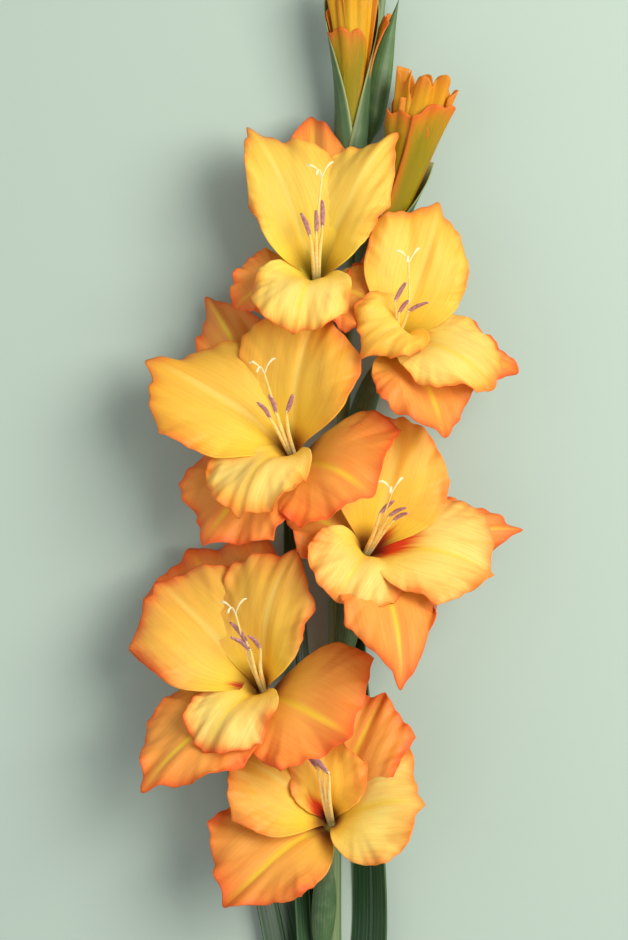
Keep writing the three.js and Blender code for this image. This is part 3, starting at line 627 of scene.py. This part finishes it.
def tepal_material(number, name, tepal, seed):
    whorl, own = tepal[0], tepal[-1]
    # throat and its strength give the painted shade deep in the funnel
    heart, body, blush, rim, throat, depth = INNER_PALETTES[number - 1]
    strength, reach, aside = own.get("mark", (0.0, 0.2, 0.0))
    values = {
        "Heart": heart, "Body": body, "Blush": blush, "Rim": rim, "Rib": CREAM, "Mark": SCARLET,
        "Throat": throat, "Blush Reach": 0.95, "Rib Strength": 0.5, "Mark Strength": strength,
        "Mark Reach": reach, "Mark Side": aside, "Throat Strength": depth, "Seed": seed * 1.7,
    }
    if whorl == "lip":
        values.update({"Body": CREAM, "Rib": YELLOW, "Blush Reach": 0.8, "Rib Strength": 0.6})
    if whorl == "outer":
        values.update({"Heart": GOLD, "Body": PEACH, "Blush": SALMON, "Rim": VERMILION, "Rib": YELLOW,
                       "Blush Reach": 0.95, "Rib Strength": 0.8})
    return painted(f"{name}_petal", "tepal_paint", values, 0.5, 0.35, 0.0006, SOFT_FLESH)


def plain(name, colour, dark, roughness, scale, surface=None):
    """A small soft part: one colour with fine mottling and a grainy relief."""
    material = bpy.data.materials.new(name)
    material.use_nodes = True
    tree = Tree(material.node_tree)
    shader = material.node_tree.nodes["Principled BSDF"]
    place = tree.node("TexCoord").outputs["Object"]
    grain = tree.noise(place, scale, 3.0)
    tree.put(shader.inputs["Base Color"], tree.mix(tree.step(grain, 0.3, 0.7), dark, colour))
    bumped = tree.node("Bump", dict(Height=grain, Strength=0.3, Distance=0.0003))
    tree.put(shader.inputs["Normal"], bumped.outputs[0])
    shader.inputs["Roughness"].default_value = roughness
    for label, value in (surface or {}).items():
        shader.inputs[label].default_value = value
    return material


# ---------------------------------------------------------------- building the pieces

stem_path = Path(STEM_PATH)


def stem_at(y):
    t = np.interp(y, stem_path.line[:, 1], stem_path.run) / stem_path.length
    share = (y - STEM_PATH[0][1]) / (STEM_PATH[-1][1] - STEM_PATH[0][1])
    return stem_path.at(t), STEM_RADII[0] + (STEM_RADII[1] - STEM_RADII[0]) * share


def build_tepals(number, flower):
    for index, (name, tepal) in enumerate(flower["tepals"].items()):
        seed = number * 10 + index
        whorl = tepal[0]
        slot = "outer_tepal" if whorl == "outer" else "inner_tepal"
        material = tepal_material(number, f"flower_{number}_{name}", tepal, seed)
        place = tepal_place(flower, tepal, seed)
        piece = grid_mesh(f"petal_{number}_{name}", 52, 64, place, material, wall=TEPAL_WALL)
        stand_in(piece, slot, f"flower_{number}_{name}")


def tube_path(flower):
    axis = flower_frame(flower)[0]
    centre, radius = stem_at(flower["foot_y"])
    mouth = np.array(flower["throat"], float) - axis * TUBE_MOUTH_DEPTH
    sideways = math.copysign(0.75, mouth[0] - centre[0])
    foot = centre + unit([sideways, 0, 0.66]) * (radius + 2.6)
    leave = foot + np.array([sideways * 4, 20, 3])
    return bezier(foot, leave, mouth - axis * 17, mouth + axis * 2.2)


def tube_radius(t):
    swell = 3.2 * np.exp(-(t / 0.16)**2)
    return np.maximum(swell, 2.1) + 2.0 * t**6


def build_tube(number, flower, materials):
    axis, up, right = flower_frame(flower)
    throat = np.array(flower["throat"], float)

    def spot(aside, reach, rise):
        return throat + right * aside + axis * reach + up * rise

    def rod(name, path, radius, material, **more):
        piece = rod_mesh(f"{name}_{number}", path, radius, material, reference=right, **more)
        stand_in(piece, "tube_and_stamens", f"flower_{number}_tube")

    rod("tube", tube_path(flower), tube_radius, materials["tube"], sides=20, steps=40,
        lobes=lambda angle, t: 1 + 0.05 * np.cos(3 * angle) * (1 - t))
    for side, (foot, tip) in zip(("left", "middle", "right"), flower["anthers"]):
        start, end = spot(*foot), spot(*tip)
        root = spot(foot[0] * 0.25, -3.5, 0.2)
        belly = spot(foot[0] * 0.55, foot[1] * 0.55, foot[2] * 0.3)
        filament = Path([root, belly, start, start + (end - start) * 0.12])
        rod(f"filament_{side}", filament, lambda t: 1.25 - 0.75 * t**2, materials["filament"],
            sides=12, steps=30)
        bow = (start + end) / 2 + up * 0.9 + right * 0.3
        anther = Path([start - (end - start) * 0.04, bow, end])
        rod(f"anther_{side}", anther, anther_radius, materials["anther"], sides=18, steps=26, depth=0.8,
            lobes=lambda angle, t: 1 - 0.22 * np.abs(np.sin(angle))**6)
    stigma = spot(*flower["stigma"])
    aside, reach, rise = flower["stigma"]
    style = Path([spot(0, -3.5, 0.5), spot(aside * 0.15, reach * 0.5, 1.0 + rise * 0.12), stigma])
    rod("style", style, lambda t: 0.62 - 0.16 * t, materials["filament"], sides=10, steps=34)
    for side, (lean, climb) in {"left": (-7.5, 2.0), "middle": (-2.5, -4.0), "right": (6.0, 4.5)}.items():
        bend = spot(aside + lean * 0.4, reach + 3.6, rise + 2.2 + climb * 0.2)
        curl = spot(aside + lean * 0.8, reach + 4.6, rise + 2.6 + climb * 0.7)
        end = spot(aside + lean, reach + 4.0, rise + 1.5 + climb)
        rod(f"stigma_{side}", Path([stigma, bend, curl, end]), stigma_radius, materials["stigma"],
            sides=10, steps=24, depth=0.6)


def stigma_radius(t):
    return 0.34 + 0.3 * smoothstep(t, 0.35, 0.85) - 0.4 * smoothstep(t, 0.9, 1.0)


def anther_radius(t):
    return 1.25 * np.clip(np.sin(math.pi * (0.04 + 0.92 * t)), 0, 1)**0.42


def build_spathe(number, path, length, half, wrap, materials, node):
    """Two bract valves that clasp the foot of a flower's tube."""
    first, middle = path.at(np.array(0.0)), path.at(np.array(0.5))
    along = (middle - first) * np.array([1, 1, 0])
    lift = (middle - first)[2] / np.linalg.norm(along)
    end = first + unit(along) * length + np.array([0, 0, lift * length * 0.6])
    centre = (first + end) / 2 + np.array([0, 0, 1.0])

    def half_width(t):
        return half * (0.3 + 0.7 * np.sin(math.pi * np.minimum(t * 0.9 + 0.12, 1))) * (1.02 - t**3.5)

    for valve, drop, turn in (("outer", -5.0, 0.0), ("inner", 5.0, math.pi)):
        lift_by = [np.array([0, 0, drop * share]) for share in (0.5, 1.1, 1.0)]
        line = Path([first + lift_by[0], centre + lift_by[1], end + lift_by[2]])
        piece = blade_mesh(f"{node}_{valve}_valve", line, half_width, wrap, lambda t: t * 0 + turn,
                           materials["spathe"], wall=0.6, across=16, along=40,
                           wave=lambda across, t: 0.5 * across**2 * np.sin(9 * t) * t)
        stand_in(piece, "spathe", node)


def build_stem(materials):
    def radius(t):
        node_swell = sum(np.exp(-((t - place) / 0.006)**2) for place in (0.25, 0.33, 0.41, 0.49, 0.57, 0.66))
        return STEM_RADII[0] + (STEM_RADII[1] - STEM_RADII[0]) * t + 0.25 * node_swell
    piece = rod_mesh("cut_stem", stem_path, radius, materials["stem"], sides=28, steps=160,
                     lobes=lambda angle, t: 1 + 0.018 * np.cos(9 * angle))
    stand_in(piece, "stem", "stem")


def build_leaves(materials):
    for name, (half, (turn_foot, turn_tip), points) in LEAVES.items():
        def half_width(t, half=half):
            return half * (0.5 + 0.5 * np.sin(math.pi / 2 * np.minimum(t * 4, 1))) * (1.01 - t**3)

        def turn(t, low=math.radians(turn_foot), high=math.radians(turn_tip)):
            return low + (high - low) * t

        def ribs(across, t):
            midrib = 0.5 * np.exp(-(across / 0.06)**2)
            return midrib + 0.03 * np.cos(across * math.pi * 9) - 0.5 * np.sin(7 * t) * across**2
        piece = blade_mesh(f"{name}_blade", Path(points), half_width, 40, turn, materials["leaf"],
                           wall=0.9, across=64, along=120, wave=ribs)
        stand_in(piece, "leaf", name)


def round_bud(path, angle, t, reach):
    """Points round a bud's path: angle 0 is its right side and a quarter turn its upper side."""
    inside = np.clip(t, 0, 1)
    tangent = path.along(inside)
    side = unit(np.cross(tangent, np.array([0, 0, 1.0])))
    up = np.cross(side, tangent)
    beyond = (t - inside)[:, None] * path.length
    spread = side * np.cos(angle)[:, None] + up * (0.72 * np.sin(angle))[:, None]
    return path.at(inside) + tangent * beyond + spread * reach[:, None]


def furled_place(path, profile, petal, layer, seed):
    """One tepal of an opening bud, rolled round the bud and overlapping its neighbour.

    Layer 0 holds the inner petals, whose ruffled ends fill the mouth, and layer 1 the outer ones.
    """
    centre, span, reach, flare = petal
    frill = 0.9 if layer else 2.6
    phases = np.random.default_rng(seed).uniform(0, 2 * math.pi, 5)

    def place(u, v):
        across = 2 * u - 1
        lobes = np.abs(np.sin(4.6 * across + phases[0])) - 0.6 + 0.12 * np.sin(13 * across + phases[4])
        t = reach * v * (1 - 0.08 * np.abs(across)**3 * v**2) + 0.026 * frill * v**5 * lobes
        angle = math.radians(centre) + across * math.radians(span) * (1 - 0.06 * v)
        rim = np.maximum(v**6, np.abs(across)**4 * v**3)
        waves = (np.sin(9.2 * across + 2 * phases[0]) + 0.4 * np.sin(15 * across + phases[2])
                 + 0.1 * np.sin(29 * across + phases[3]))
        overlap = 0.9 + 0.13 * layer + 0.09 * across
        return round_bud(path, angle, t, profile(t) * overlap + flare * v**6 + frill * rim * waves)
    return place


def bract_place(path, profile, bract):
    """A bract wrapped round a bud, narrowing to its tip so that its margins leave the bud in a V."""
    centre, span, reach, power = bract

    def place(u, v):
        across = 2 * u - 1
        t = -0.12 + (reach + 0.12) * v
        half_span = math.radians(span) * np.maximum(1 - (np.maximum(t, 0) / reach)**power, 0.02)
        off = 1.3 + 0.5 * across + 2.2 * v**3 + 0.25 * np.sin(6 * v + 2 * across)
        return round_bud(path, math.radians(centre) + across * half_span, t, profile(t) + off)
    return place


def bud_profile(belly, mouth):
    def profile(t):
        swell = belly * np.sin(math.pi * np.clip(t + 0.08, 0, 0.5))**1.3
        return np.maximum(2.6, swell) + (mouth - belly) * smoothstep(t, 0.4, 1.0)**1.3
    return profile


def build_opening_bud(name, shape, materials):
    belly, mouth, points, outer, bracts = shape
    path = Path(points)
    profile = bud_profile(belly, mouth)
    inner = [(centre, 76, 1.03, 0.5) for centre in (60, 180, 300)]
    petals = [(petal, 0) for petal in inner] + [(petal, 1) for petal in outer]
    for index, (petal, layer) in enumerate(petals):
        material = materials["bud_outer"] if layer else materials["bud_inner"]
        place = furled_place(path, profile, petal, layer, index + mouth)
        piece = grid_mesh(f"{name}_petal_{index + 1}", 60, 72, place, material, wall=0.5)
        stand_in(piece, "opening_bud", name)
    core = rod_mesh(f"{name}_tube", path, lambda t: 2.3 * (1 - 0.8 * smoothstep(t, 0.5, 0.8)),
                    materials["tube"], sides=16, steps=30)
    stand_in(core, "opening_bud", name)
    for valve, bract in zip(("outer", "inner"), bracts):
        piece = grid_mesh(f"{name}_{valve}_bract", 30, 60, bract_place(path, profile, bract),
                          materials["spathe"], wall=0.6)
        stand_in(piece, "spathe", f"{name}_spathe")


def build_closed_buds(materials):
    for name, (width, points) in CLOSED_BUDS.items():
        path = Path(points)

        def radius(t, width=width):
            swell = 0.35 + 0.65 * np.sin(math.pi * t**0.8)
            return width * swell * np.maximum(1 - t**3, 0.04) * (0.2 + 0.8 * smoothstep(t, 0, 0.15))
        piece = rod_mesh(f"{name}_bract", path, radius, materials["bract"], sides=24, steps=40, depth=0.8,
                         lobes=lambda angle, t: 1 - 0.06 * np.exp(-((np.cos(angle) - 0.2) / 0.12)**2))
        stand_in(piece, "closed_bud", name)


BUD_COLOURS = {
    "Heart": (0.12, 0.13, 0.002), "Body": (0.27, 0.21, 0.002), "Blush": (0.66, 0.24, 0.006),
    "Rim": (0.66, 0.13, 0.015), "Rib": (0.42, 0.34, 0.01), "Mark": MAROON_AND_SHADE, "Throat": OLIVE_SHADE,
    "Rib Strength": 0.2, "Mark Strength": 0.0, "Mark Reach": 0.2, "Mark Side": 0.0,
    "Throat Strength": 0.0, "Seed": 5.0,
}


def small_materials():
    green = "green_paint"
    return {
        "tube": painted("tube_skin", green, {
            "Dark": (0.36, 0.30, 0.06), "Light": (0.62, 0.50, 0.14), "Margin": (0.8, 0.45, 0.12), "Ribs": 6.0,
            "Margin Strength": 0.0, "Mottle": 0.6, "Seed": 3.0}, 0.5, 0.15, 0.0003, SOFT_FLESH),
        "filament": plain("filament_flesh", (0.93, 0.72, 0.30), (0.88, 0.60, 0.18), 0.45, 400.0, SOFT_FLESH),
        "stigma": plain("stigma_felt", (0.95, 0.84, 0.50), (0.90, 0.72, 0.36), 0.8, 900.0, SOFT_FLESH),
        "anther": plain("anther_skin", (0.50, 0.27, 0.26), (0.30, 0.14, 0.15), 0.6, 700.0, SOFT_FLESH),
        "bud_outer": painted("bud_outer_petal", "tepal_paint", {**BUD_COLOURS, "Blush Reach": 0.6}, 0.5, 0.35,
                             0.0006, SOFT_FLESH),
        "bud_inner": painted("bud_inner_petal", "tepal_paint", {
            **BUD_COLOURS, "Body": (0.72, 0.36, 0.01), "Rim": (0.68, 0.2, 0.02), "Blush Reach": 0.7},
            0.5, 0.35, 0.0006, SOFT_FLESH),
        "spathe": painted("spathe_skin", green, {
            "Dark": (0.05, 0.11, 0.035), "Light": (0.13, 0.21, 0.085), "Margin": (0.42, 0.44, 0.16),
            "Ribs": 9.0, "Margin Strength": 0.55, "Mottle": 0.9, "Seed": 1.0}, 0.5, 0.25, 0.0003),
        "bract": painted("bract_skin", green, {
            "Dark": (0.055, 0.12, 0.03), "Light": (0.15, 0.25, 0.07), "Margin": (0.30, 0.38, 0.12),
            "Ribs": 8.0, "Margin Strength": 0.2, "Mottle": 0.9, "Seed": 8.0}, 0.5, 0.2, 0.0003),
        "leaf": painted("leaf_skin", green, {
            "Dark": (0.012, 0.048, 0.014), "Light": (0.05, 0.12, 0.04), "Margin": (0.13, 0.22, 0.09),
            "Ribs": 13.0, "Margin Strength": 0.35, "Mottle": 0.9, "Seed": 2.0}, 0.4, 0.1, 0.0001),
        "stem": painted("stem_skin", green, {
            "Dark": (0.13, 0.20, 0.08), "Light": (0.30, 0.38, 0.17), "Margin": (0.3, 0.38, 0.17),
            "Ribs": 14.0, "Margin Strength": 0.0, "Mottle": 0.6, "Seed": 4.0}, 0.45, 0.2, 0.0004),
    }


def build_floor():
    bm = bmesh.new()
    bmesh.ops.create_grid(bm, x_segments=1, y_segments=1, size=6)
    mesh = bpy.data.meshes.new("floor")
    bm.to_mesh(mesh)
    bm.free()
    floor = bpy.data.objects.new("floor", mesh)
    bpy.context.collection.objects.link(floor)
    material = bpy.data.materials.new("pale_table")
    material.use_nodes = True
    shader = material.node_tree.nodes["Principled BSDF"]
    shader.inputs["Base Color"].default_value = (0.42, 0.52, 0.45, 1)
    shader.inputs["Roughness"].default_value = 0.9
    shader.inputs["Specular IOR Level"].default_value = 0.1
    mesh.materials.append(material)


add_camera()
add_studio()
build_floor()
materials = small_materials()
for number, flower in enumerate(FLOWERS, 1):
    build_tepals(number, flower)
    build_tube(number, flower, materials)
    build_spathe(number, tube_path(flower), 54, 8, 6.5, materials, f"flower_{number}_spathe")
for name, shape in OPENING_BUDS.items():
    build_opening_bud(name, shape, materials)
build_closed_buds(materials)
build_leaves(materials)
build_stem(materials)
